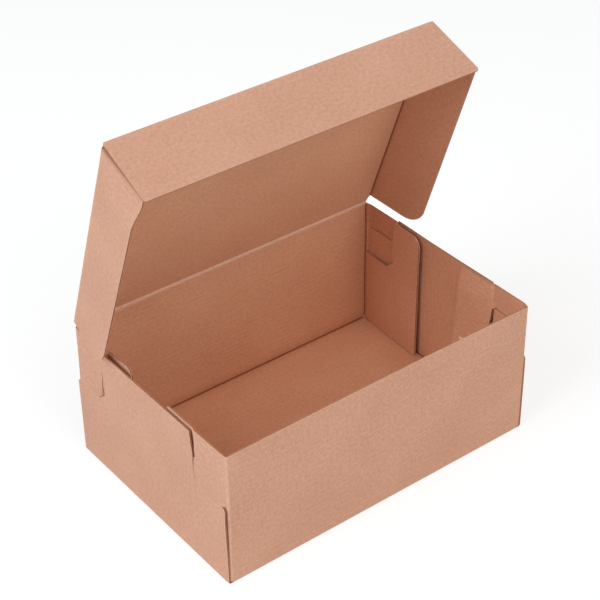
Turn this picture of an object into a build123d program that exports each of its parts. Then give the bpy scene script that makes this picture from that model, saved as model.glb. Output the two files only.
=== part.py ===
from build123d import *
import os

# A takeaway meal box with a hinged lid, folded up from one die-cut sheet of thin corrugated board.
# Millimetres. Origin at the centre of the underside, +X along the length, +Y to the hinge, +Z up.
# Every panel is a strip of sheet: the centre line of its section is bent at the folds, given the
# thickness of the board and drawn out along the fold, and then cut to the outline of its die.

# Board
board = 1.2  # thickness of the sheet
fold_inside = 0.4  # inside radius of a fold
layer_gap = 0.15  # air between two layers that lie on each other
cut_width = 0.4  # width of a slit made by the die

# Tray, measured over the outer faces of its walls
length = 220.0
width = 150.0
height = 91.0

# Corner flaps, turned in from the front and back walls
flap_lift = 2.4  # lower edge above the table
flap_stand = 1.5  # how far a tip stands inwards from its end panel
flap_round = 2.0  # plain corners of the tips
front_flap_top = 54.0  # length of a front flap along the rim
front_flap_foot = 60.0  # length of a front flap along the floor
back_flap_length = 56.0
back_flap_round = 7.0  # upper corner of a back flap's tip

# Lock at each corner: the neck of a flap passes outside the ear of the end panel, and a slit frees
# the lower part of the neck as a tongue that lies on the ear. Above the ear the neck dives inwards.
tongue_drop = 16.0  # upper end of the slit below the rim
tongue_height = 19.5
tongue_reach = 28.5  # tip from the wall's outer face
tongue_chamfer = 4.0  # cut off the lower corner of the tip
neck_climb = 10.0  # end of the stretch that climbs over the ear, from the wall's outer face
neck_dive = 4.0  # stretch before the tip over which the neck dives behind the end panel
neck_bend = 4.0  # radius of the bends of the neck
neck_rim_bulge = 0.3  # what is left of the neck's bulge at the rim

# End panels
end_drop = 1.0  # upper edge below the rim
end_round = 1.5
shoulder_round = 4.0  # where the panel starts to cover the fold of the corner

# Lid
lid_depth = 44.0  # front wall, measured over the top panel
lid_side_depth = 40.0  # side walls, measured in the same way
lid_gap = 0.3  # air between the lid and the tray
front_room = 5.0  # air between the lid's front wall and the tray
lap_length = 41.0  # laps of the lid's side walls, glued behind its front wall
lap_inset = 2.5  # edges of a lap from the top panel and from the free edge
heel_top = 6.2  # rear edge of a side wall from the hinge, at the top panel
heel_foot = 11.0  # and at the free edge
heel_round = 15.0
lid_opening = 70.0  # degrees from closed, as it stands

# Radii of a fold along the middle and the outside of the board
fold_middle = fold_inside + board / 2
fold_outside = fold_inside + board
shared_wall = 3 * fold_outside  # stretch of wall that a folded strip shares with its neighbour

# Where the neck starts to dive, from the wall's outer face
neck_crest = tongue_reach - neck_dive

# Middle of each wall and layer, counted from the middle of the box
wall_plane = width / 2 - board / 2
flap_plane = length / 2 - board / 2
end_plane = length / 2 + layer_gap + board / 2
tongue_plane = end_plane + board + layer_gap
lid_side_plane = tongue_plane + board + lid_gap
lid_front_plane = width / 2 + front_room + board / 2
lap_plane = lid_front_plane - board
lid_top_end = lid_side_plane + board / 2 - fold_outside  # where the folds of the lid's side walls start

# Heights
tongue_top = height - tongue_drop
tongue_foot = tongue_top - tongue_height
lid_plane = height + lid_gap + board / 2
lid_free_edge = lid_plane + board / 2 - lid_depth
lid_side_edge = lid_plane + board / 2 - lid_side_depth


def section(plane, points, bends):
    """The section of a bent strip of board whose centre line runs through the points."""
    return plane * trace(FilletPolyline(*points, radius=bends), line_width=board)


def across(outline):
    """A cutter with an outline drawn in Y and Z, right through the box along X."""
    return extrude(Plane.YZ * outline, amount=length, both=True)


def both_ends(shape):
    """A shape made at the +X end, and its mirror image at the other."""
    return shape + mirror(shape, about=Plane.YZ)


def slab(x_size, y_size, bottom, top):
    """A plain block about the Z axis, from one height to another."""
    return Pos(0, 0, (bottom + top) / 2) * Box(x_size, y_size, top - bottom)


def tray():
    """Front wall, floor and back wall, bent up along the two long folds of the floor."""
    points = [
        (-wall_plane, height),
        (-wall_plane, board / 2),
        (wall_plane, board / 2),
        (wall_plane, height),
    ]
    walls = extrude(section(Plane.YZ, points, fold_middle), amount=length / 2 - fold_outside, both=True)
    return walls + slab(length, width - 2 * fold_outside, 0, board)


def end_panel():
    """One end panel, bent up from the floor outside the flaps, with a shoulder and an ear at each side."""
    points = [(length / 2 - fold_outside, board / 2), (end_plane, board / 2), (end_plane, height)]
    strip = extrude(section(Plane.XZ, points, fold_middle), amount=width / 2, both=True)

    side = width / 2
    shoulder = tongue_foot - cut_width
    ear_side = side - neck_climb - neck_bend / 2
    ear_top = tongue_top - cut_width
    notch_side = side - tongue_reach - 2 * cut_width
    top = height - end_drop
    right = [
        (side, 0),
        (side, shoulder),
        (ear_side, shoulder),
        (ear_side, ear_top),
        (notch_side, ear_top),
        (notch_side, top),
    ]
    left = [(-y, z) for y, z in reversed(right)]
    rounds = [0, shoulder_round] + [end_round] * 4
    outline = make_face(FilletPolyline(*right, *left, radius=rounds + rounds[::-1], close=True))
    return strip & across(outline)


def neck_points(bulge, tip):
    """Centre line of a flap: over the corner fold, out by the bulge, and back to the flap's own plane.

    Each point is a place across the end of the box and a distance from the wall's outer face.
    """
    dive_end = flap_plane - flap_stand * tongue_reach / tip
    return [
        (length / 2 - shared_wall, board / 2),
        (flap_plane, board / 2),
        (flap_plane + bulge, neck_climb),
        (flap_plane + bulge, neck_crest),
        (dive_end, tongue_reach),
        (flap_plane - flap_stand, tip),
    ]


def at_wall(side, points):
    """Places on the plan of the box, for distances from the front wall (-1) or the back wall (1)."""
    return [(x, side * (width / 2 - distance)) for x, distance in points]


def flap(side, tip, outline):
    """One corner flap: the flat part behind the end panel, and the neck that flattens out at the rim."""
    flat = [(length / 2 - shared_wall, board / 2), (flap_plane, board / 2), (flap_plane - flap_stand, tip)]
    lower = extrude(section(Plane.XY, at_wall(side, flat), fold_middle), amount=tongue_top)
    beside_tongue = slab(length * 2, 2 * width, tongue_foot, tongue_top)
    beside_tongue -= slab(length - 2 * fold_outside, 2 * width, 0, height)
    beside_tongue -= slab(length * 2, width - 2 * (tongue_reach + cut_width), 0, height)

    bends = [fold_middle] + [neck_bend] * 3
    bulged = at_wall(side, neck_points(tongue_plane - flap_plane, tip))
    at_rim = at_wall(side, neck_points(neck_rim_bulge, tip))
    neck_foot = section(Plane.XY.offset(tongue_top), bulged, bends)
    neck_head = section(Plane.XY.offset(height), at_rim, bends)
    upper = loft([neck_foot, neck_head], ruled=True)
    return (lower - beside_tongue + upper) & across(outline)


def tongue(side):
    """One lock tongue: the freed part of the neck, flat on the ear of the end panel."""
    points = [
        (length / 2 - shared_wall, board / 2),
        (flap_plane, board / 2),
        (tongue_plane, neck_climb),
        (tongue_plane, tongue_reach),
    ]
    strip = extrude(section(Plane.XY, at_wall(side, points), [fold_middle, neck_bend]), amount=height)
    foot = tongue_foot + cut_width
    free_top = tongue_top - cut_width
    outline = [
        (0, foot),
        (tongue_reach - tongue_chamfer, foot),
        (tongue_reach, foot + tongue_chamfer),
        (tongue_reach, free_top),
        (neck_crest, free_top),
        (neck_crest, tongue_top),
        (0, tongue_top),
    ]
    places = [(side * (width / 2 - distance), z) for distance, z in outline]
    return strip & across(make_face(Polyline(*places, close=True)))


def front_flap():
    """A front flap, whose tip is cut at a slant."""
    root = -width / 2
    tip_foot = root + front_flap_foot
    tip_top = root + front_flap_top
    points = [(root, flap_lift), (tip_foot, flap_lift), (tip_top, height), (root, height)]
    outline = make_face(FilletPolyline(*points, radius=[0, flap_round, flap_round, 0], close=True))
    return flap(-1, front_flap_foot, outline)


def back_flap():
    """A back flap, whose tip has one large round corner."""
    root = width / 2
    tip = root - back_flap_length
    points = [(root, flap_lift), (tip, flap_lift), (tip, height), (root, height)]
    outline = make_face(FilletPolyline(*points, radius=[0, flap_round, back_flap_round, 0], close=True))
    return flap(1, back_flap_length, outline)


def base_tray():
    """The whole tray, one piece of sheet."""
    corners = front_flap() + back_flap() + tongue(-1) + tongue(1)
    return tray() + both_ends(end_panel() + corners)


def lid_top_and_front():
    """Top panel and front wall, with the rounded crease that the lid turns on."""
    points = [(wall_plane, lid_plane), (-lid_front_plane, lid_plane), (-lid_front_plane, lid_free_edge)]
    panel = extrude(section(Plane.YZ, points, fold_middle), amount=lid_top_end, both=True)
    front = slab(2 * lid_side_plane + board, board, lid_free_edge, lid_plane - fold_middle)
    panel += Pos(0, -lid_front_plane, 0) * front
    crease_end = length / 2 - fold_outside
    crease = extrude(Plane.YZ * Pos(wall_plane, lid_plane) * Circle(board / 2), amount=crease_end, both=True)
    heel = make_face(
        Polyline(
            (crease_end, width),
            (crease_end, wall_plane),
            (lid_side_plane, wall_plane - heel_top),
            (lid_side_plane, width),
            close=True,
        )
    )
    return panel - both_ends(extrude(heel, amount=2 * lid_plane)) + crease


def lid_sides():
    """The two side walls, bent down from the top panel, with their round rear corners."""
    points = [
        (-lid_side_plane, lid_side_edge),
        (-lid_side_plane, lid_plane),
        (lid_side_plane, lid_plane),
        (lid_side_plane, lid_side_edge),
    ]
    strip = extrude(section(Plane.XZ, points, fold_middle), amount=width, both=True)
    front = fold_middle - lap_plane
    top = lid_plane + board / 2
    side = [
        (front, lid_side_edge),
        (wall_plane - heel_foot, lid_side_edge),
        (wall_plane - heel_top, top),
        (front, top),
    ]
    outline = make_face(FilletPolyline(*side, radius=[0, heel_round, 0, 0], close=True))
    return strip & across(outline)


def lid_lap():
    """One lap of a side wall, turned in at the corner and glued to the front wall."""
    points = [
        (lid_side_plane, shared_wall - lap_plane),
        (lid_side_plane, -lap_plane),
        (lid_side_plane + board / 2 - lap_length, -lap_plane),
    ]
    foot = lid_side_edge + lap_inset
    top = lid_plane - board / 2 - lap_inset
    return extrude(section(Plane.XY.offset(foot), points, fold_middle), amount=top - foot)


def lid():
    """The whole lid, made closed and then opened about its crease."""
    closed = lid_top_and_front() + lid_sides() + both_ends(lid_lap())
    hinge = Axis((0, wall_plane, lid_plane), (-1, 0, 0))
    return closed.rotate(hinge, lid_opening)


os.makedirs("parts", exist_ok=True)
export_step(base_tray(), "parts/base_tray.step")
export_step(lid(), "parts/lid.step")
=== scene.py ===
import math

import bmesh
import bpy
import numpy as np
from mathutils import Matrix, Vector
from mathutils.geometry import delaunay_2d_cdt


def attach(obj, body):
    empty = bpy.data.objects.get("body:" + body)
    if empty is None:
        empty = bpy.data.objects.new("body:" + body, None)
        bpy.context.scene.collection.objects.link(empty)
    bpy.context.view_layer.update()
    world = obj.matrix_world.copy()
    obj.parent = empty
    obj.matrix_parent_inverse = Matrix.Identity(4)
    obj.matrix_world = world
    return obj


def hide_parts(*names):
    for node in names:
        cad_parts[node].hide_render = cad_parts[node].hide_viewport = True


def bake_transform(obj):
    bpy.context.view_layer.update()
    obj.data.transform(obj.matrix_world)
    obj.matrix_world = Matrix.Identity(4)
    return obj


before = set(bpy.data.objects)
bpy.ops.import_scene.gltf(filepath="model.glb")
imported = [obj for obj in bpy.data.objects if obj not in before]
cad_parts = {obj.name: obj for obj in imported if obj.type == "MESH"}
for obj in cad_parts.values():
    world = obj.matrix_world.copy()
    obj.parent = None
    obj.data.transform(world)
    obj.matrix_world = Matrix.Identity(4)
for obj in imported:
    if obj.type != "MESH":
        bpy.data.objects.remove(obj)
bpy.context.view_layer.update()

# Sizes in millimetres, close to those of the solids
board = 1.2  # thickness of the sheet
fold = 1.0  # radius of a fold along the middle of the board
length = 219.3
width = 150.0
height = 91.0
layer_gap = 0.15  # air between two layers that lie on each other
cut_width = 0.4  # width of a slit made by the die
slit_end = 0.05  # width of a slit where it runs out in a fold

flap_lift = 1.65  # lower edge of a corner flap above the table
flap_round = 2.0  # plain corners of the tips
front_flap_top = 56.5  # length of a front flap along the rim
front_flap_foot = 60.0  # and along the floor
back_flap_length = 56.0
back_flap_round = 7.0  # upper corner of a back flap's tip
tongue_drop = 16.0  # upper end of a lock tongue below the rim
tongue_height = 19.5
tongue_reach = 28.5  # slit beside a tongue from the wall's outer face
tongue_chamfer = 4.0  # cut off the lower corner of its tip
tongue_tips = {-1: (29.3, 27.9), 1: (28.8, 30.3)}  # front and back tips from the wall, at foot and head
slit_slant = 2.7  # how much further from the wall a slit is at the rim than at its lower end
neck_climb = 3.2  # stretch over which a neck climbs over the ear
neck_dive = 1.8  # stretch over which it dives behind the end panel
end_drops = {-1: 1.0, 1: 0.4}  # upper edge of each end panel below the rim
end_round = 0.4  # small corners of an end panel
shoulder_round = 3.0  # where an end panel starts to cover the corner

lid_depth = 44.0  # front wall of the lid, over its top panel
lid_side_depth = 40.0  # side walls, in the same way
lid_half = 111.8  # outer face of a side wall from the middle
lid_gap = 0.3  # air over the base when the lid is shut
front_room = 5.0  # air before the base when it is shut
lid_corner_round = 1.5  # lower corners of its front wall
lap_length = 41.0  # laps of the side walls, behind the front wall
lap_inset = 2.5  # lower edge of a lap from the free edge
lap_head = 0.8  # upper edge of a lap from the top panel
lap_glue = 1.2  # air left between a lap and the front wall
heel_top = 6.2  # rear edge of a side wall from the hinge, at the top panel
heel_foot = 12.0  # and at the free edge
heel_round = 15.0
lid_opening = 70.0  # degrees

# How the paper strays from flat
front_flap_stand = (0.6, 5.5)  # how far a tip stands inwards, at the rim and at the floor
back_flap_stand = (2.6, 3.2)
stand_curve = 0.6  # a flap leans more near its fold than near its tip
flap_buckle = 1.0  # depth of the crease in one front flap
buckle_drop = 9.0  # this crease below the rim, at the slit
buckle_slant = 7.0  # and how much lower at the tip
buckle_fade = 30.0  # stretch below it that is bent with it
buckle_share = 3.0  # it has its full depth at one part in this many of its way to the tip

# At each end and side: tongue outwards at its foot and head, ear inwards, end panel outwards
locks = {
    (-1, -1): (1.95, 1.95, 0.65, 0.45),
    (-1, 1): (2.4, 1.9, 0.0, 0.1),
    (1, -1): (1.75, 1.75, 0.65, 0.5),
    (1, 1): (1.75, 1.75, 0.65, 0.9),
}

# At each end and side: neck outwards at the rim, and how much further from the wall it starts to dive
necks = {
    (-1, -1): (0.3, 0.0),
    (-1, 1): (0.5, 2.3),
    (1, -1): (0.9, 0.0),
    (1, 1): (0.6, 1.5),
}

torn = (-1, -1)  # end and side of the lock whose ear is torn along the tongue
tear_width = 1.5
tear_foot = 57.0  # height of its lower end
near_notch = (1, 1)  # end and side of the notch whose upper end is nearer to the wall
notch_shift = 1.5  # how much nearer
end_gape = 1.0  # lower front edge of the left end panel away from the corner
gape_reach = 30.0  # how far along the panel this fades
burr = (-1.0, 2.6, 0.75)  # how far a torn bit of the front wall's upper edge is curled over
burr_place = 57.5  # from the middle of the wall
burr_half = 0.7
burr_root = 2.0  # where the curl starts, below the edge
end_bulge = 0.3  # middle of an end panel's upper edge, outwards
bulge_start = 20.0  # height at which this starts
bulge_reach = 45.0  # from a slit to the full bulge
push_reach = 40.0  # how far from a slit an end panel is still pushed outwards by the neck
slit_lead = 0.5  # where an end panel starts to step from its ear to the part beyond the slit
slit_soft = 1.2  # stretch of this step
ear_soft = 5.0  # stretch over which an ear turns inwards at its foot
end_set_back = 0.7  # sides of an end panel from the outer faces of the long walls
front_bow = 0.8  # middle of the front wall's upper edge, inwards
lid_taper = 0.5  # how much nearer the lid's side walls are at the hinge than at the front
lid_shift = 0.5  # front of the lid sideways
front_lean = -2.1  # left end of its front wall sideways, at the free edge

# Free edges of the lid's side walls at each end: how far they spring outwards, between which two places
# behind the front this comes about, and how much further they are at the hinge
lid_springs = {
    -1: (4.0, 4.0, 22.0, 3.2),
    1: (3.3, -8.0, 1.0, 5.0),
}

lid_bow = 0.8  # middle of the lid's top panel, upwards
groove_depth = 0.55  # furrow along the inside of a fold
groove_half = 1.6  # half of its width
ridge_half = 2.3  # half of the pale stripe along the inside of the lid's crease

# Layers of the board at a cut edge
liner = 0.27  # thickness of an outer paper
medium = 0.16  # thickness of the wavy paper between them
flute = 3.2  # from wave to wave
edge_depth = 0.7  # how deep a cut across the flutes is hollow
crushed_depth = 0.35  # and a cut along them, which the die crushes
edge_step = 0.28  # across the flutes, from point to point of a cut edge
touch_gap = 0.02  # least opening where a wave meets an outer paper

crease_half = 3.0  # stretch of sheet on each side of the lid's crease that bends with it
crease_ridge = 0.55  # how far the crease stands out on the inside
crease_sharp = 0.75  # how wide this ridge is
crease_round = 2.0  # radius of the crease along the middle of the board
fold_wear_and_shade_reach = 2.2  # reach of the paler wear beside a fold, and of the painted shade on the outside of the lap's fold

# Steps between the points of the mesh
panel_step = 7.0
wall_step = 7.5  # walls below the locks
lock_step = 4.0  # beside the locks, and down the lid's side walls
rim_step = 2.0  # above the locks
slit_step = 0.35
slit_margin = 1.5  # how far outside a slit this step is kept
neck_step = 2.3
flap_step = 5.0
sprung_step = 3.0  # along the sprung part of the lid's side walls
sprung_length = 42.0
front_step = 6.0  # lid's front wall and laps
crease_step = 0.3
fold_rows = 6
arc_points = 40  # round the corner of a section
chord_turn = 0.2  # radians of a round corner for one chord
least_chords = 3
short_run = 0.01  # stretches of an outline shorter than this are left out
slope_step = 0.01  # to each side of a point, to find how the sheet lies there
edge_room = 0.5  # rows nearer than this to the back wall's upper edge are left to it
same_place = 0.05  # points of a grid nearer than this are one
corner_room = 0.04  # grid lines nearer than this to a corner are left to it
grid_margin = 0.15  # points of a grid from the outline
tiny = 1e-6
least_divisor = 1e-12  # in place of 0
row_slack = 1e-3  # how far a point may lie from its row
weld_reach = 4e-6  # metres
sharp_angle = 38.0  # degrees between faces that are shaded apart
mitre_limit = 0.67
uv_unit = 100.0  # millimetres of sheet for one unit of the texture map
metre = 1000.0  # millimetres

# Places that follow from the sizes
arc = math.pi / 2 * fold
wall_plane = width / 2 - board / 2
flap_plane = length / 2 - board / 2
end_plane = length / 2 + layer_gap + board / 2
lid_side_plane = lid_half - board / 2
lid_front_plane = width / 2 + front_room + board / 2
lap_plane = lid_front_plane - board - lap_glue
lid_plane = height + lid_gap + board / 2
lid_free_edge = lid_plane + board / 2 - lid_depth
lid_side_edge = lid_plane + board / 2 - lid_side_depth
tongue_top = height - tongue_drop
tongue_foot = tongue_top - tongue_height
neck_crest = tongue_reach - neck_dive
fold_top = board / 2 + fold  # height at which a fold of the floor ends
groove_edge = groove_half - arc / 2  # how far a furrow reaches past its fold
wall_end = flap_plane - fold  # where the fold of a corner starts, along the length
floor_end = wall_plane - fold  # where the fold of a long wall starts
wall_top = lid_plane - crease_half  # where the back wall passes into the crease


def smooth(x):
    """0 below 0, 1 above 1, and a soft step between."""
    x = np.clip(x, 0, 1)
    return x * x * (3 - 2 * x)


def stretch(start, end, step):
    """Even places from start to end, about a step apart."""
    return np.linspace(start, end, max(2, round(abs(end - start) / step) + 1))


def merged(*groups):
    """Places of several groups in order, without those that nearly repeat."""
    places = np.sort(np.concatenate([np.atleast_1d(np.asarray(g, float)) for g in groups]))
    keep = np.concatenate([[True], np.diff(places) > same_place])
    return places[keep]


def round_corner(before, corner, after, radius, chords=None):
    """Points on the arc that rounds a corner: as many chords as told, or as its turn needs."""
    a = (before - corner) / np.linalg.norm(before - corner)
    b = (after - corner) / np.linalg.norm(after - corner)
    half = 0.5 * math.acos(np.clip(a @ b, -1, 1))
    turn = math.pi - 2 * half
    centre = corner + (a + b) / np.linalg.norm(a + b) * radius / math.sin(half)
    start = corner + a * radius / math.tan(half) - centre
    end = corner + b * radius / math.tan(half) - centre
    chords = chords or max(least_chords, round(turn / chord_turn))
    points = []
    for step in range(chords + 1):
        swing = turn * step / chords
        points.append(centre + (math.sin(turn - swing) * start + math.sin(swing) * end) / math.sin(turn))
    return points


def fold_line(points, radius=fold):
    """A line through points with its corners rounded: lengths along it, and places in two directions."""
    points = [np.array(p, float) for p in points]
    path = [points[0]]
    for before, corner, after in zip(points, points[1:], points[2:]):
        path.extend(round_corner(before, corner, after, radius, arc_points))
    path.append(points[-1])
    path = np.array(path)
    along = np.concatenate([[0], np.cumsum(np.linalg.norm(np.diff(path, axis=0), axis=1))])
    return along, path[:, 0], path[:, 1]


def on_line(line, s):
    """The two coordinates of a fold line at lengths s."""
    return np.interp(s, line[0], line[1]), np.interp(s, line[0], line[2])


def rounded(outline):
    """An outline whose corners (a, b, radius) are replaced by short chords of their arcs."""
    corners = [np.array(corner[:2], float) for corner in outline]
    points = []
    for k, corner in enumerate(corners):
        radius = outline[k][2]
        if radius:
            after = corners[(k + 1) % len(corners)]
            points.extend(round_corner(corners[k - 1], corner, after, radius))
        else:
            points.append(corner)
    area = sum(p[0] * q[1] - q[0] * p[1] for p, q in zip(points, points[1:] + points[:1]))
    return points if area > 0 else points[::-1]


def sampled(outline, lines, across, joined):
    """Points round an outline: at its corners and the grid lines it crosses, and closer on cut flutes."""
    corners = rounded(outline)
    points = []
    for p, q in zip(corners, corners[1:] + corners[:1]):
        span = q - p
        size = np.linalg.norm(span)
        cuts = [0.0]
        for axis in (0, 1):
            if abs(span[axis]) > tiny:
                found = (lines[axis] - p[axis]) / span[axis]
                cuts.extend(f for f in found if corner_room < f * size < size - corner_room)
        cuts = sorted(cuts) + [1.0]
        for start, end in zip(cuts, cuts[1:]):
            if (end - start) * size < short_run:
                continue
            middle = p + span * (start + end) / 2
            parts = 1
            if not joined(*middle):
                parts = max(1, math.ceil(abs(span[across]) * (end - start) / edge_step))
            for part in range(parts):
                points.append(p + span * (start + (end - start) * part / parts))
    return np.array(points)


def inside(points, loop, margin):
    """Which points lie in a closed loop and at least a margin from it."""
    a = loop
    b = np.roll(loop, -1, axis=0)
    x = points[:, None, 0]
    y = points[:, None, 1]
    rises = b[:, 1] - a[:, 1]
    steep = np.where(np.abs(rises) < least_divisor, least_divisor, rises)
    crosses = ((a[:, 1] > y) != (b[:, 1] > y)) & (x < (b[:, 0] - a[:, 0]) * (y - a[:, 1]) / steep + a[:, 0])
    within = crosses.sum(axis=1) % 2 == 1
    edge = b - a
    away = points[:, None] - a
    share = np.clip((away * edge).sum(2) / np.maximum((edge * edge).sum(1), least_divisor), 0, 1)
    distance = np.linalg.norm(away - share[..., None] * edge, axis=2).min(axis=1)
    return within & (distance > margin)


def unit(v):
    """Rows of v with length 1."""
    return v / np.maximum(np.linalg.norm(v, axis=-1, keepdims=True), least_divisor)


class Sheet:
    """The mesh of a piece of folded board, made up of panels that meet at their folds."""

    def __init__(self):
        self.points = []
        self.maps = []
        self.wear_and_shade = []
        self.faces = []
        self.papers = []  # 0 outer paper, 1 inner paper, 2 cut edge of the outer one, 3 what lies behind it, a darker copy of the paper that paints shade into the hollows and onto the inner paper's cut edge

    def add(self, places, maps, wear_and_shade):
        first = sum(len(p) for p in self.points)
        self.points.append(places)
        self.maps.append(maps)
        self.wear_and_shade.append(wear_and_shade)
        return first

    def face(self, corners, paper):
        self.faces.append([int(c) for c in corners])
        self.papers.append(paper)

    def panel(self, place, outline, lines, across, joined, folds, offset):
        """One panel: place gives the middle of the board for two distances on the sheet.

        Its third argument is the spot on the sheet that a point belongs to, also where the two distances
        are taken a little beside it. across says which distance runs across the flutes, joined tells the
        edges that meet another panel from the cut ones, and offset is the panel's spot on the texture.
        Folds are (which distance, its value, mark on the outside, mark on the inside), where a mark above 0
        is paler wear and one below 0 is painted shade, which on the inside goes with a furrow.
        """
        loop = sampled(outline, lines, across, joined)
        grid = np.array([(a, b) for a in lines[0] for b in lines[1]])
        grid = grid[inside(grid, loop, grid_margin)]
        start = np.concatenate([loop, grid])
        ring = list(range(len(loop)))
        found = delaunay_2d_cdt([Vector(p) for p in start], [], [ring], 1, tiny)
        flat = np.array([tuple(v) for v in found[0]])
        at = np.zeros(len(start), int)
        for new, old in enumerate(found[3]):
            for k in old:
                at[k] = new
        here = flat.T
        a, b = here
        middle = place(a, b, here)
        by_a = place(a + slope_step, b, here) - place(a - slope_step, b, here)
        by_b = place(a, b + slope_step, here) - place(a, b - slope_step, here)
        normal = unit(np.cross(by_a, by_b))
        maps = (flat[:, [1 - across, across]] + offset) / uv_unit
        rubbed_and_shaded = np.zeros(len(flat))
        crease_shade_and_wear = np.zeros(len(flat))
        furrow = np.zeros(len(flat))
        for axis, value, outer_wear_and_shade, inner_wear_and_shade in folds:
            away = np.abs(flat[:, axis] - value)
            rubbed_and_shaded += outer_wear_and_shade * np.clip(1 - away / fold_wear_and_shade_reach, 0, 1)
            # An inner mark below 0 is painted shade along the crease, as wide as its furrow; above 0 it is a
            # paler stripe.
            inner_half = groove_half if inner_wear_and_shade < 0 else ridge_half
            crease_shade_and_wear += inner_wear_and_shade * np.clip(1 - away / inner_half, 0, 1)
            if inner_wear_and_shade < 0:
                furrow += groove_depth * np.clip(1 - (away / groove_half) ** 2, 0, 1) ** 2
        outwards = np.sign((normal * (middle - box_middle)).sum())
        top_outside = outwards > 0
        thick_top = board / 2 - (0 if top_outside else furrow)
        thick_low = board / 2 - (furrow if top_outside else 0)
        top_wear_and_shade, low_wear_and_shade = (rubbed_and_shaded, crease_shade_and_wear) if top_outside else (crease_shade_and_wear, rubbed_and_shaded)
        top = self.add(middle + normal * np.reshape(thick_top, (-1, 1)), maps, top_wear_and_shade)
        low = self.add(middle - normal * np.reshape(thick_low, (-1, 1)), maps, low_wear_and_shade)
        for triangle in found[2]:
            p, q, r = (flat[k] for k in triangle)
            turned = (q[0] - p[0]) * (r[1] - p[1]) - (q[1] - p[1]) * (r[0] - p[0])
            a, b, c = triangle if turned > 0 else triangle[::-1]
            self.face((top + a, top + b, top + c), 0 if top_outside else 1)
            self.face((low + c, low + b, low + a), 1 if top_outside else 0)
        self.edges(loop, at[ring], middle, normal, maps, top, low, across, joined, top_outside)

    def edges(self, loop, at, middle, normal, maps, top, low, across, joined, top_outside):
        """The cut edges round a panel: two papers, the wavy one between them, and the hollows beside it."""
        count = len(loop)
        after = np.roll(np.arange(count), -1)
        cut = np.array([not joined(*((loop[k] + loop[after[k]]) / 2)) for k in range(count)])
        spot = middle[at]
        up = normal[at]
        inwards = unit(np.cross(up + up[after], spot[after] - spot))
        before = np.roll(inwards, 1, axis=0)
        cut_before = np.roll(cut, 1)
        both = unit(before + inwards)
        mitre = both / np.clip((both * inwards).sum(1, keepdims=True), mitre_limit, 1)
        way = np.where((cut & cut_before)[:, None], mitre, np.where(cut[:, None], inwards, before))
        swing = board / 2 - liner - medium / 2 - touch_gap
        wave = swing * np.cos(2 * math.pi * loop[:, across] / flute)
        levels = [
            np.full(count, liner - board / 2),
            wave - medium / 2,
            wave + medium / 2,
            np.full(count, board / 2 - liner),
        ]
        run = loop[after] - loop
        slant = np.abs(run[:, across]) / np.linalg.norm(run, axis=1)
        open_edge = np.where(cut, slant, 0)
        depth = crushed_depth + (edge_depth - crushed_depth) * np.maximum(open_edge, np.roll(open_edge, 1))
        plain = np.zeros(count)
        rims = []
        floors = []
        for level in levels:
            rim = spot + up * level[:, None]
            rims.append(self.add(rim, maps[at], plain))
            floors.append(self.add(rim + way * depth[:, None], maps[at], plain))
        # Paper 3 paints shade into the hollows of a cut edge and onto the inner paper's cut edge.
        for i in np.nonzero(cut)[0]:
            j = after[i]
            self.face((low + at[i], low + at[j], rims[0] + j, rims[0] + i), 3 if top_outside else 2)
            self.face((rims[1] + i, rims[1] + j, rims[2] + j, rims[2] + i), 3)
            self.face((rims[3] + i, rims[3] + j, top + at[j], top + at[i]), 2 if top_outside else 3)
            for under, over in ((0, 1), (2, 3)):
                self.face((rims[under] + i, rims[under] + j, floors[under] + j, floors[under] + i), 3)
                self.face((floors[under] + i, floors[under] + j, floors[over] + j, floors[over] + i), 3)
                self.face((floors[over] + i, floors[over] + j, rims[over] + j, rims[over] + i), 3)

    def build(self, name, papers, turn=None):
        """The mesh object, welded where panels meet, with its papers as materials."""
        points = np.concatenate(self.points)
        if turn is not None:
            points = turn(points)
        mesh = bpy.data.meshes.new(name)
        mesh.from_pydata((points / metre).tolist(), [], self.faces)
        layer = mesh.uv_layers.new(name="sheet")
        corners = np.zeros(len(mesh.loops), np.int32)
        mesh.loops.foreach_get("vertex_index", corners)
        layer.data.foreach_set("uv", np.concatenate(self.maps)[corners].astype(np.float32).ravel())
        # Paler wear above 0, painted shade below 0.
        worn = mesh.attributes.new("wear_and_shade", "FLOAT", "POINT")
        worn.data.foreach_set("value", np.concatenate(self.wear_and_shade).astype(np.float32))
        mesh.polygons.foreach_set("material_index", np.array(self.papers, np.int32))
        bm = bmesh.new()
        bm.from_mesh(mesh)
        bmesh.ops.delete(bm, geom=[v for v in bm.verts if not v.link_faces], context="VERTS")
        bmesh.ops.remove_doubles(bm, verts=bm.verts, dist=weld_reach)
        bmesh.ops.dissolve_degenerate(bm, edges=bm.edges, dist=tiny)
        open_edges = [e for e in bm.edges if e.is_boundary]
        bmesh.ops.holes_fill(bm, edges=open_edges, sides=0)
        bm.to_mesh(mesh)
        bm.free()
        mesh.polygons.foreach_set("use_smooth", np.ones(len(mesh.polygons), bool))
        mesh.set_sharp_from_angle(angle=math.radians(sharp_angle))
        for paper in papers:
            mesh.materials.append(paper)
        piece = bpy.data.objects.new(name, mesh)
        bpy.context.scene.collection.objects.link(piece)
        return piece


box_middle = np.array((0, 0, 0.6 * height))  # a point inside, which tells the two faces of a panel apart

# Heights at which the walls and flaps have rows of points
wall_rows = merged(
    stretch(fold_top, tongue_foot, wall_step),
    [flap_lift, fold_top + groove_edge, tongue_foot, tongue_foot - cut_width],
    stretch(tongue_foot, tongue_top, lock_step),
    stretch(tongue_top, height, rim_step),
)
floor_rows = merged(
    stretch(-floor_end, floor_end, panel_step),
    [groove_edge - floor_end, floor_end - groove_edge],
)


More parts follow.
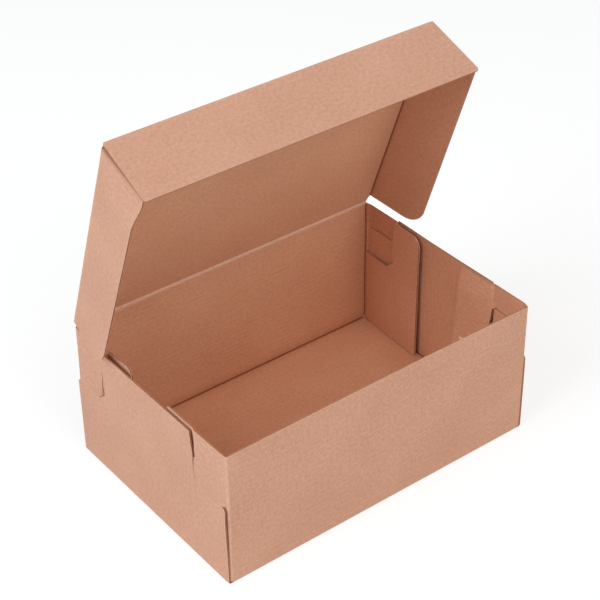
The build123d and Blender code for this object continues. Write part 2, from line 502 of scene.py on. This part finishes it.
def tray_panel(sheet):
    """Front wall, floor and back wall."""
    line = fold_line(
        [(-wall_plane, height), (-wall_plane, board / 2), (wall_plane, board / 2), (wall_plane, wall_top)]
    )
    front_fold = height - fold_top
    floor = front_fold + arc
    back_fold = floor + 2 * floor_end
    back = back_fold + arc
    last = back + wall_top - fold_top
    back_rows = wall_rows[wall_rows < wall_top - edge_room]
    rows = merged(
        height - wall_rows,
        front_fold + stretch(0, arc, arc / fold_rows),
        floor + floor_end + floor_rows,
        back_fold + stretch(0, arc, arc / fold_rows),
        back + back_rows - fold_top,
        [last],
    )
    nick = stretch(burr_place - 3 * burr_half, burr_place + 3 * burr_half, burr_half / 2)
    columns = merged(
        stretch(-wall_end, wall_end, panel_step),
        [groove_edge - wall_end, wall_end - groove_edge],
        nick,
    )

    def place(s, t, here):
        y, z = on_line(line, t)
        bow = front_bow * (1 - (s / wall_end) ** 2) * (z / height) ** 2
        up = smooth((z - height + burr_root) / burr_root)
        curled = np.exp(-(((s - burr_place) / burr_half) ** 2)) * up
        on_front = y < 0
        curl = np.where(on_front, curled, 0)[:, None] * np.array(burr)
        return np.stack([s, y + np.where(on_front, bow, 0), z], 1) + curl

    def joined(s, t):
        if abs(abs(s) - wall_end) > tiny:
            return False
        on_flap = t < height - flap_lift or t > back + flap_lift - fold_top
        return on_flap or floor < t < back_fold

    outline = [(-wall_end, 0, 0), (wall_end, 0, 0), (wall_end, last, 0), (-wall_end, last, 0)]
    # The inner marks below 0 paint shade along the inside of the folds.
    folds = [(1, front_fold + arc / 2, 0.4, -1.6), (1, back_fold + arc / 2, 0.4, -1.6)]
    sheet.panel(place, outline, (columns, rows), 1, joined, folds, (0, 0))


def end_panel(sheet, end):
    """One end panel, bent up from the floor, with a shoulder and an ear at each side."""
    line = fold_line([(wall_end, board / 2), (end_plane, board / 2), (end_plane, height)])
    upright = end_plane - fold - wall_end + arc  # distance on the sheet at which the panel stands
    half = width / 2 - end_set_back
    shoulder = upright + tongue_foot - cut_width - fold_top
    ear_side = width / 2 - fold_top - neck_climb
    ear_top = upright + tongue_top - cut_width - fold_top
    notch_side = width / 2 - tongue_reach - 2 * cut_width
    top = upright + height - end_drops[end] - fold_top
    rows = merged(
        upright - arc + stretch(0, arc, arc / fold_rows),
        stretch(upright, shoulder, panel_step),
        stretch(shoulder, top, lock_step),
        [0, upright - arc - groove_edge, upright + groove_edge],
    )
    at_slit = stretch(notch_side - slit_slant, notch_side + slit_margin, slit_step)
    columns = merged(floor_rows, [-half, half], at_slit, -at_slit)
    near_front, near_back = locks[end, -1], locks[end, 1]
    slants = {-1: slit_slant, 1: slit_slant}
    if end == near_notch[0]:
        slants[near_notch[1]] -= notch_shift

    def place(r, y, here):
        x, z = on_line(line, r)
        lift = smooth((z - bulge_start) / (height - bulge_start))
        slant = np.where(y < 0, slants[-1], slants[1]) * np.clip((z - tongue_top) / tongue_drop, 0, 1)
        beyond = width / 2 - np.abs(y) - tongue_reach - slant  # distance past the slit, towards the middle
        past = smooth((beyond + slit_lead) / slit_soft)
        high = smooth((z - tongue_foot) / tongue_drop)
        by_neck = high * past * (1 - smooth(beyond / push_reach))
        pushed = np.where(y < 0, near_front[3], near_back[3]) * by_neck
        on_ear = (1 - past) * smooth((z - tongue_foot + ear_soft) / ear_soft)
        sunk = np.where(y < 0, near_front[2], near_back[2]) * on_ear
        x = x + end_bulge * lift * smooth(beyond / bulge_reach) + pushed - sunk
        if end < 0:
            x = x + end_gape * smooth(1 - (y + half) / gape_reach) * smooth(z / tongue_foot) * (1 - high)
        return np.stack([end * x, y, z], 1)

    def joined(r, y):
        return r < tiny and abs(y) < floor_end

    def border(side):
        """The panel's outline from the floor up, at the front (-1) or the back (1)."""
        tear = []
        if (end, side) == torn:
            tear = [
                (ear_top, notch_side + tear_width, 0),
                (upright + tear_foot - fold_top, notch_side - cut_width, 0),
            ]
        points = [
            (0, half, 0),
            (shoulder, half, shoulder_round),
            (shoulder, ear_side, end_round),
            (ear_top, ear_side, end_round),
            *tear,
            (ear_top, notch_side, 0),
            (top, notch_side - slants[side], end_round),
        ]
        return [(r, side * y, radius) for r, y, radius in points]

    # The inner mark below 0 paints shade along the inside of the fold.
    folds = [(0, upright - arc / 2, 0.5, -1)]
    outline = border(1) + border(-1)[::-1]
    sheet.panel(place, outline, (rows, columns), 1, joined, folds, (0, 300 + 200 * end))


def corner_flap(sheet, end, side):
    """One corner flap with its neck and lock tongue, turned in from the front (-1) or back (1) wall."""
    start = fold_top - arc  # from a distance on the sheet to a distance from the wall's outer face
    stand = front_flap_stand if side < 0 else back_flap_stand
    tip_foot = front_flap_foot if side < 0 else back_flap_length
    tip_top = front_flap_top if side < 0 else back_flap_length
    free_top = tongue_top - cut_width
    lift_foot, lift_top = locks[end, side][:2]
    rim_bulge, crest_shift = necks[end, side]
    tongue_far, tongue_near = tongue_tips[side]
    buckled = end > 0 and side < 0

    def place(q, z, here):
        swing = np.clip(q / fold, 0, math.pi / 2)
        away = start + q
        distance = np.where(q < arc, fold_top - fold * np.cos(swing), away)
        x = wall_end + fold * np.sin(swing)
        up = np.clip((here[1] - tongue_foot) / tongue_height, 0, 1)
        to_tip = tongue_far + (tongue_near - tongue_far) * up - here[0] - start
        in_tongue = (here[1] < tongue_top - tiny) & (here[1] > tongue_foot - cut_width / 2)
        in_tongue &= to_tip > -cut_width / 2
        in_tongue &= to_tip + here[1] - tongue_foot > tongue_chamfer - cut_width / 2
        tongue_lift = lift_foot + (lift_top - lift_foot) * up
        rise = smooth((away - fold_top) / neck_climb)
        crest = neck_crest + crest_shift + slit_slant * np.clip((z - tongue_top) / tongue_drop, 0, 1)
        dive = 1 - smooth((away - crest) / neck_dive)
        flat = np.clip((away - fold_top) / (tip_foot - fold_top), 0, 1)
        lean = flat**stand_curve * (stand[1] + (stand[0] - stand[1]) * np.clip(z / height, 0, 1))
        left = smooth((z - tongue_top) / tongue_drop)
        bulge = lift_top + (rim_bulge - lift_top) * left
        hill = np.where(in_tongue, rise, rise * dive * (here[1] > tongue_top - row_slack))
        out = hill * np.where(in_tongue, tongue_lift, bulge) - lean * (1 - hill)
        if buckled:
            over = np.clip((away - tongue_reach) / (tip_top - tongue_reach), 0, 1)
            line = height - buckle_drop - buckle_slant * over
            above = np.clip((height - z) / (height - line), 0, 1)
            below = np.clip(1 - (line - z) / buckle_fade, 0, 1)
            out = out - flap_buckle * smooth(buckle_share * over) * np.minimum(above, below)
        return np.stack([end * (x + out), side * (width / 2 - distance), z], 1)

    def joined(q, z):
        return q < tiny and (side < 0 or z < wall_top)

    dive_end = neck_crest + crest_shift + slit_slant + neck_dive
    upper_round = flap_round if side < 0 else back_flap_round
    far = tongue_far - start
    near = tongue_near - start
    outline = [
        (0, flap_lift, 0),
        (tip_foot - start, flap_lift, flap_round),
        (tip_top - start, height, upper_round),
        (0, height, 0),
        (0, tongue_foot, 0),
        (far - tongue_chamfer, tongue_foot, 0),
        (far, tongue_foot + tongue_chamfer, 0),
        (near, free_top, 0),
        (neck_crest - start, free_top, 0),
        (neck_crest - start, tongue_top, 0),
        (near + cut_width, tongue_top, 0),
        (far + cut_width, tongue_foot + tongue_chamfer, 0),
        (far + cut_width - tongue_chamfer, tongue_foot - cut_width, 0),
        (arc, tongue_foot - cut_width, 0),
        (slit_end, tongue_foot - slit_end, 0),
        (0, tongue_foot - slit_end, 0),
    ]
    columns = merged(
        stretch(0, arc, arc / fold_rows),
        [arc + groove_edge],
        stretch(fold_top, neck_crest, neck_step) - start,
        stretch(neck_crest, dive_end, slit_step) - start,
        stretch(dive_end, tip_foot, flap_step) - start,
    )
    rows = merged(wall_rows[wall_rows > flap_lift - row_slack], [wall_top, free_top])
    # The inner mark below 0 paints shade along the inside of the fold.
    folds = [(0, arc / 2, 0.45, -0.8)]
    sheet.panel(place, outline, (columns, rows), 1, joined, folds, (600 * end, 300 * side))


def lid_narrowing(from_hinge):
    """Share of its width that the lid has at a distance from the hinge."""
    return 1 - lid_taper / lid_side_plane * np.clip(1 - from_hinge / width, 0, 1)


def opened(points):
    """Places on the closed lid, drawn in towards the hinge and turned to where the lid stands open."""
    turn = math.radians(-lid_opening)
    y = points[:, 1] - wall_plane
    z = points[:, 2] - lid_plane
    shift = lid_shift * np.clip(-y / width, 0, 1)
    turned_y = wall_plane + y * math.cos(turn) - z * math.sin(turn)
    turned_z = lid_plane + y * math.sin(turn) + z * math.cos(turn)
    return np.stack([points[:, 0] * lid_narrowing(-y) + shift, turned_y, turned_z], 1)


lid_start = wall_plane - crease_half
lid_fold = lid_front_plane - fold  # where the fold of the lid's front wall starts
lid_side_end = lid_side_plane - fold
side_front = fold - lap_plane  # where the fold of a side wall's lap starts
heel_slope = (lid_side_plane - wall_end) / heel_top
heel_start = wall_end + heel_slope * crease_half  # half length of the lid's edge at the crease
side_rear = wall_plane - (lid_side_end - wall_end) / heel_slope
lap_foot = lid_side_edge + lap_inset
lap_top = lid_plane - board / 2 - lap_head
lid_rows = merged(
    stretch(side_front, side_front + sprung_length, sprung_step),
    stretch(side_front + sprung_length, side_rear, panel_step),
    [side_front + groove_edge],
)


def lid_panel(sheet):
    """Top panel and front wall of the lid."""
    line = fold_line(
        [(lid_start, lid_plane), (-lid_front_plane, lid_plane), (-lid_front_plane, lid_free_edge)]
    )
    front_fold = lid_start + lid_fold
    front = front_fold + arc
    last = front + lid_plane - fold - lid_free_edge
    rows = merged(
        [0, last, front_fold - groove_edge, front + groove_edge],
        lid_start - lid_rows,
        front_fold + stretch(0, arc, arc / fold_rows),
        stretch(front, last, front_step),
    )
    beside = lid_side_end - groove_edge
    columns = merged(stretch(-lid_half, lid_half, panel_step), [-lid_side_end, -beside, beside, lid_side_end])

    def place(s, t, here):
        y, z = on_line(line, t)
        free = np.clip(t / front_fold, 0, 1)
        lean = front_lean * np.clip((t - front) / (last - front), 0, 1) * (lid_half - s) / (2 * lid_half)
        z = z + lid_bow * np.clip(1 - (s / lid_side_end) ** 2, 0, 1) * 4 * free * (1 - free)
        return np.stack([s + lean, y, z], 1)

    def joined(s, t):
        return abs(abs(s) - lid_side_end) < tiny and lid_start - side_rear < t < lid_start - side_front

    right = [
        (heel_start, 0, 0),
        (lid_side_end, lid_start - side_rear, 0),
        (lid_side_end, front_fold, 0),
        (lid_half, front, 0),
        (lid_half, last, lid_corner_round),
    ]
    left = [(-s, t, radius) for s, t, radius in reversed(right)]
    # The inner mark below 0 paints shade along the inside of the fold.
    folds = [(1, front_fold + arc / 2, 0.5, -1.2)]
    sheet.panel(place, right + left, (columns, rows), 1, joined, folds, (1500, 900))


def lid_side(sheet, end):
    """One side wall of the lid, with its round rear corner and the lap behind the front wall."""
    line = fold_line(
        [(lid_side_end, lid_plane), (lid_side_plane, lid_plane), (lid_side_plane, lid_side_edge)]
    )
    foot = arc + lid_plane - fold  # distance on the sheet at height 0
    last = foot - lid_side_edge
    lap_tip = lid_half - lap_length
    lap_last = side_front - arc - (lid_side_plane - fold - lap_tip)
    spring, spring_start, spring_end, splay = lid_springs[end]
    rows = merged(
        stretch(0, arc, arc / fold_rows),
        stretch(arc, last, lock_step),
        [arc + groove_edge, foot - lap_top, foot - lap_foot],
    )
    columns = merged(
        lid_rows,
        side_front - stretch(0, arc, arc / fold_rows),
        stretch(lap_last, side_front - arc, front_step),
        [side_front - arc - groove_edge],
    )

    def place(r, y, here):
        x, z = on_line(line, r)
        turned = np.clip((side_front - y) / fold, 0, math.pi / 2)
        inwards = fold * (1 - np.cos(turned)) + np.maximum(side_front - arc - y, 0)
        behind = np.maximum(y - side_front, 0)
        depth = np.clip((r - arc / 2) / last, 0, 1)
        sprung = smooth((behind - spring_start) / (spring_end - spring_start))
        out = depth * (spring * sprung + splay * behind / width)
        return np.stack([end * (x - inwards + out), np.maximum(y, side_front) - fold * np.sin(turned), z], 1)

    def joined(r, y):
        return r < tiny and side_front < y < side_rear

    outline = [
        (0, side_front, 0),
        (foot - lap_top, side_front, 0),
        (foot - lap_top, lap_last, flap_round),
        (foot - lap_foot, lap_last, flap_round),
        (foot - lap_foot, side_front, 0),
        (last, side_front, 0),
        (last, wall_plane - heel_foot, heel_round),
        (arc, wall_plane - heel_top, 0),
        (0, side_rear, 0),
    ]
    # Below 0 these paint shade: along the inner creases, and on the outside of the lap's fold a painted
    # shadow for the open seam beside the front wall.
    folds = [(0, arc / 2, 0.5, -1.2), (1, side_front - arc / 2, -1.1, -1.2)]
    sheet.panel(place, outline, (rows, columns), 1, joined, folds, (1500 + 300 * end, 2100))


def crease_panel(sheet):
    """The strip of sheet about the lid's crease, as it is bent with the lid open."""
    lean = math.radians(lid_opening)
    lid_way = np.array((-math.cos(lean), math.sin(lean)))
    hinge = np.array((wall_plane, lid_plane))
    line = fold_line([(wall_plane, wall_top), hinge, hinge + crease_half * lid_way], crease_round)
    last = line[0][-1]
    rows = stretch(0, last, crease_step)
    columns = merged(stretch(-wall_end, wall_end, panel_step), [-heel_start, heel_start])

    def place(s, t, here):
        y, z = on_line(line, t)
        ridge = crease_ridge * np.exp(-(((t - last / 2) / crease_sharp) ** 2))
        narrow = 1 + (lid_narrowing(crease_half) - 1) * smooth((t - last / 2) / (last / 2))
        return np.stack([s * narrow, y - ridge, z], 1)

    def joined(s, t):
        return False

    right = [(wall_end, 0, 0), (wall_end, last / 2, 0), (heel_start, last, 0)]
    left = [(-s, t, radius) for s, t, radius in reversed(right)]
    folds = [(1, last / 2, 0.8, 1.4)]
    sheet.panel(place, right + left, (columns, rows), 1, joined, folds, (0, 1800))


class Nodes:
    """Makes and joins the nodes of a material."""

    def __init__(self, tree):
        self.tree = tree
        tree.nodes.clear()

    def make(self, kind, inputs=None, **settings):
        node = self.tree.nodes.new(kind)
        for name, value in settings.items():
            setattr(node, name, value)
        for name, value in (inputs or {}).items():
            if isinstance(value, bpy.types.NodeSocket):
                self.tree.links.new(value, node.inputs[name])
            else:
                node.inputs[name].default_value = value
        return node

    def math(self, operation, a, b=0.0):
        return self.make("ShaderNodeMath", {0: a, 1: b}, operation=operation).outputs[0]

    def mix(self, factor, a, b):
        return self.make("ShaderNodeMix", {0: factor, 6: a, 7: b}, data_type="RGBA").outputs[2]

    def noise(self, vector, scale, detail=2.0, rough=0.5):
        inputs = {"Vector": vector, "Scale": scale, "Detail": detail, "Roughness": rough}
        return self.make("ShaderNodeTexNoise", inputs).outputs["Fac"]

    def spread(self, value, low, high, to_low=0.0, to_high=1.0):
        inputs = {"Value": value, "From Min": low, "From Max": high, "To Min": to_low, "To Max": to_high}
        return self.make("ShaderNodeMapRange", inputs).outputs[0]


# Tones as shares of a paper's dark colour
speck_share = (0.7, 0.62, 0.58)
# Colour and strength of the painted shade in the creases and along the lid's seam
painted_shade_share = (0.6, 0.44, 0.32)
painted_shade_strength = 0.85
wave_phase = 0.5  # radians from the waves of the cut edges to those that show through


def shade(colour, share):
    """A colour with each channel taken down to a share."""
    return (*(c * s for c, s in zip(colour, share)), 1)


def kraft(name, dark, light, worn, ripple):
    """Uncoated brown paper: cloudy, speckled, rippled over the flutes, paler with wear at the folds and
    darker with painted shade in the creases.
    """
    material = bpy.data.materials.new(name)
    material.use_nodes = True
    n = Nodes(material.node_tree)
    sheet = n.make("ShaderNodeUVMap", uv_map="sheet").outputs[0]
    across = n.make("ShaderNodeSeparateXYZ", {0: sheet}).outputs[1]
    fibres = n.make("ShaderNodeMapping", {"Vector": sheet, "Scale": (1.0, 0.22, 1.0)}).outputs[0]
    clouds = n.noise(sheet, scale=2.2)
    mottle = n.noise(sheet, scale=45.0, detail=3.0, rough=0.6)
    fibre = n.noise(fibres, scale=260.0, detail=3.0, rough=0.65)
    specks = n.noise(fibres, scale=120.0, detail=1.0)
    wobble = n.noise(sheet, scale=6.0, detail=1.0)
    phase = n.math("ADD", n.math("MULTIPLY", across, 2 * math.pi * uv_unit / flute), wave_phase)
    wave = n.math("COSINE", phase)
    strength = n.spread(wobble, 0.3, 0.7, 0.25, 1.0)
    waves = n.math("MULTIPLY", wave, strength)

    tone = n.math("ADD", n.spread(clouds, 0.25, 0.75, 0.36, 0.64), n.spread(mottle, 0.3, 0.7, -0.22, 0.22))
    tone = n.math("ADD", tone, n.spread(fibre, 0.3, 0.7, -0.2, 0.2))
    tone = n.math("ADD", tone, n.math("MULTIPLY", waves, ripple))
    colour = n.mix(tone, (*dark, 1), (*light, 1))
    speck = n.spread(specks, 0.68, 0.8, 0.0, 0.45)
    colour = n.mix(speck, colour, shade(dark, speck_share))
    wear_and_shade = n.make("ShaderNodeAttribute", attribute_name="wear_and_shade").outputs["Fac"]
    rubbed_and_shaded = n.math("MULTIPLY", wear_and_shade, n.spread(mottle, 0.3, 0.7, 0.5, 1.0))
    colour = n.mix(rubbed_and_shaded, colour, (*worn, 1))
    # Painted shade: a mark below 0 takes the colour towards the dark shade colour in the creases and along
    # the lid's seam.
    crease_shade_and_wear = n.math("MULTIPLY", wear_and_shade, -painted_shade_strength)
    colour = n.mix(crease_shade_and_wear, colour, shade(dark, painted_shade_share))

    grain = n.math("ADD", n.math("MULTIPLY", fibre, 0.5), n.math("MULTIPLY", mottle, 0.35))
    relief = n.math("ADD", grain, n.math("MULTIPLY", waves, 0.35))
    bump = n.make("ShaderNodeBump", {"Height": relief, "Strength": 0.45, "Distance": 0.00025})
    rough = n.spread(fibre, 0.3, 0.7, 0.8, 0.95)
    shader = n.make(
        "ShaderNodeBsdfPrincipled",
        {"Base Color": colour, "Roughness": rough, "Specular IOR Level": 0.25, "Normal": bump.outputs[0]},
    )
    n.make("ShaderNodeOutputMaterial", {"Surface": shader.outputs[0]})
    return material


# Studio, in metres and watts
floor_half = 4.0
floor_paper = 0.8  # grey of the floor in the light that it gives back
floor_shade = 0.42  # and as it is seen, where it shows the shadow
floor_glow = 0.67  # with this much white of its own
soft_light = 0.38  # light from all round
lamp_size = 1.2
lamp_target = Vector((0, 0, 0.09))


def seen_directly(n):
    """1 for what the camera sees, straight or in a gloss, and 0 for light that falls on surfaces."""
    path = n.make("ShaderNodeLightPath").outputs
    seen = n.math("MAXIMUM", path["Is Camera Ray"], path["Is Glossy Ray"])
    return n.math("MAXIMUM", seen, path["Is Transmission Ray"])


def studio_floor():
    """A pale floor that is white to the eye and keeps the shadow of what stands on it."""
    material = bpy.data.materials.new("studio_floor")
    material.use_nodes = True
    n = Nodes(material.node_tree)
    seen = seen_directly(n)
    paper = n.make("ShaderNodeBsdfDiffuse", {"Color": (floor_paper, floor_paper, floor_paper, 1)}).outputs[0]
    shaded = n.make("ShaderNodeBsdfDiffuse", {"Color": (floor_shade, floor_shade, floor_shade, 1)}).outputs[0]
    glow = n.make("ShaderNodeEmission", {"Color": (1, 1, 1, 1), "Strength": floor_glow}).outputs[0]
    bright = n.make("ShaderNodeAddShader", {0: shaded, 1: glow}).outputs[0]
    both = n.make("ShaderNodeMixShader", {0: seen, 1: paper, 2: bright}).outputs[0]
    n.make("ShaderNodeOutputMaterial", {"Surface": both})
    return material


def studio_world():
    """Even white light from all round, and a white background."""
    world = bpy.data.worlds.new("studio")
    world.use_nodes = True
    n = Nodes(world.node_tree)
    seen = seen_directly(n)
    soft = n.make("ShaderNodeBackground", {"Color": (1, 1, 1, 1), "Strength": soft_light}).outputs[0]
    white = n.make("ShaderNodeBackground", {"Color": (1, 1, 1, 1), "Strength": 1.0}).outputs[0]
    both = n.make("ShaderNodeMixShader", {0: seen, 1: soft, 2: white}).outputs[0]
    n.make("ShaderNodeOutputWorld", {"Surface": both})
    bpy.context.scene.world = world


def lamp(name, place, power, colour):
    """A square soft box that looks at the object."""
    light = bpy.data.lights.new(name, "AREA")
    light.shape = "SQUARE"
    light.size = lamp_size
    light.energy = power
    light.color = colour
    lamp_object = bpy.data.objects.new(name, light)
    lamp_object.location = place
    lamp_object.rotation_euler = (lamp_target - Vector(place)).to_track_quat("-Z", "Y").to_euler()
    bpy.context.scene.collection.objects.link(lamp_object)


papers = (
    kraft("outer_paper", (0.52, 0.262, 0.168), (0.73, 0.412, 0.29), (0.76, 0.47, 0.345), 0.03),
    kraft("inner_paper", (0.60, 0.285, 0.162), (0.81, 0.452, 0.282), (0.88, 0.61, 0.46), 0.06),
    kraft("cut_paper", (0.84, 0.53, 0.40), (0.97, 0.68, 0.54), (0.97, 0.68, 0.54), 0.0),
    # Darker copy of the paper: the wavy paper's colour with painted shade in the hollows and on the inner
    # paper's cut edge
    kraft("shaded_core_paper", (0.46, 0.20, 0.10), (0.60, 0.285, 0.16), (0.60, 0.285, 0.16), 0.0),
)

base_sheet = Sheet()
tray_panel(base_sheet)
for end in (-1, 1):
    end_panel(base_sheet, end)
    for side in (-1, 1):
        corner_flap(base_sheet, end, side)
base_board = base_sheet.build("base_board", papers)
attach(base_board, "base")
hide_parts("base_tray")

lid_sheet = Sheet()
lid_panel(lid_sheet)
for end in (-1, 1):
    lid_side(lid_sheet, end)
lid_board = lid_sheet.build("lid_board", papers, opened)
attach(lid_board, "lid")
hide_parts("lid")

crease_sheet = Sheet()
crease_panel(crease_sheet)
lid_crease = crease_sheet.build("lid_crease", papers)
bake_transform(lid_crease)

floor_corners = [(floor_half * x, floor_half * y, 0) for x, y in ((-1, -1), (1, -1), (1, 1), (-1, 1))]
floor_mesh = bpy.data.meshes.new("studio_floor")
floor_mesh.from_pydata(floor_corners, [], [(0, 1, 2, 3)])
floor_mesh.materials.append(studio_floor())
floor_object = bpy.data.objects.new("studio_floor", floor_mesh)
bpy.context.scene.collection.objects.link(floor_object)

studio_world()
lamp("high", (0.0, -1.2, 1.7), 9.8, (1.0, 1.0, 0.96))
lamp("left", (-1.5, 0.0, 1.1), 20.8, (0.87, 0.94, 1.0))
lamp("front", (0.35, -1.6, 0.8), 6.8, (1.0, 0.97, 0.94))

# Camera at the angle of the photograph
azimuth, elevation, roll = (math.radians(v) for v in (-37.389, 35.102, -0.754))
camera_place = Vector((-0.4855, -0.63246, 0.66337))
sensor = 36.0
focal_share = 1683.0 / 600  # focal length over the width of the picture
back = Vector(
    (math.sin(azimuth) * math.cos(elevation), -math.cos(azimuth) * math.cos(elevation), math.sin(elevation))
)
right = Vector((math.cos(azimuth), math.sin(azimuth), 0))
up = back.cross(right)
rolled_right = math.cos(roll) * right + math.sin(roll) * up
rolled_up = math.cos(roll) * up - math.sin(roll) * right
camera = bpy.data.cameras.new("camera")
camera.sensor_width = sensor
camera.lens = sensor * focal_share
camera.clip_start = 0.01
camera_object = bpy.data.objects.new("camera", camera)
facing = Matrix((rolled_right, rolled_up, back)).transposed().to_4x4()
camera_object.matrix_world = Matrix.Translation(camera_place) @ facing
bpy.context.scene.collection.objects.link(camera_object)
bpy.context.scene.camera = camera_object
bpy.context.scene.view_settings.view_transform = "Standard"
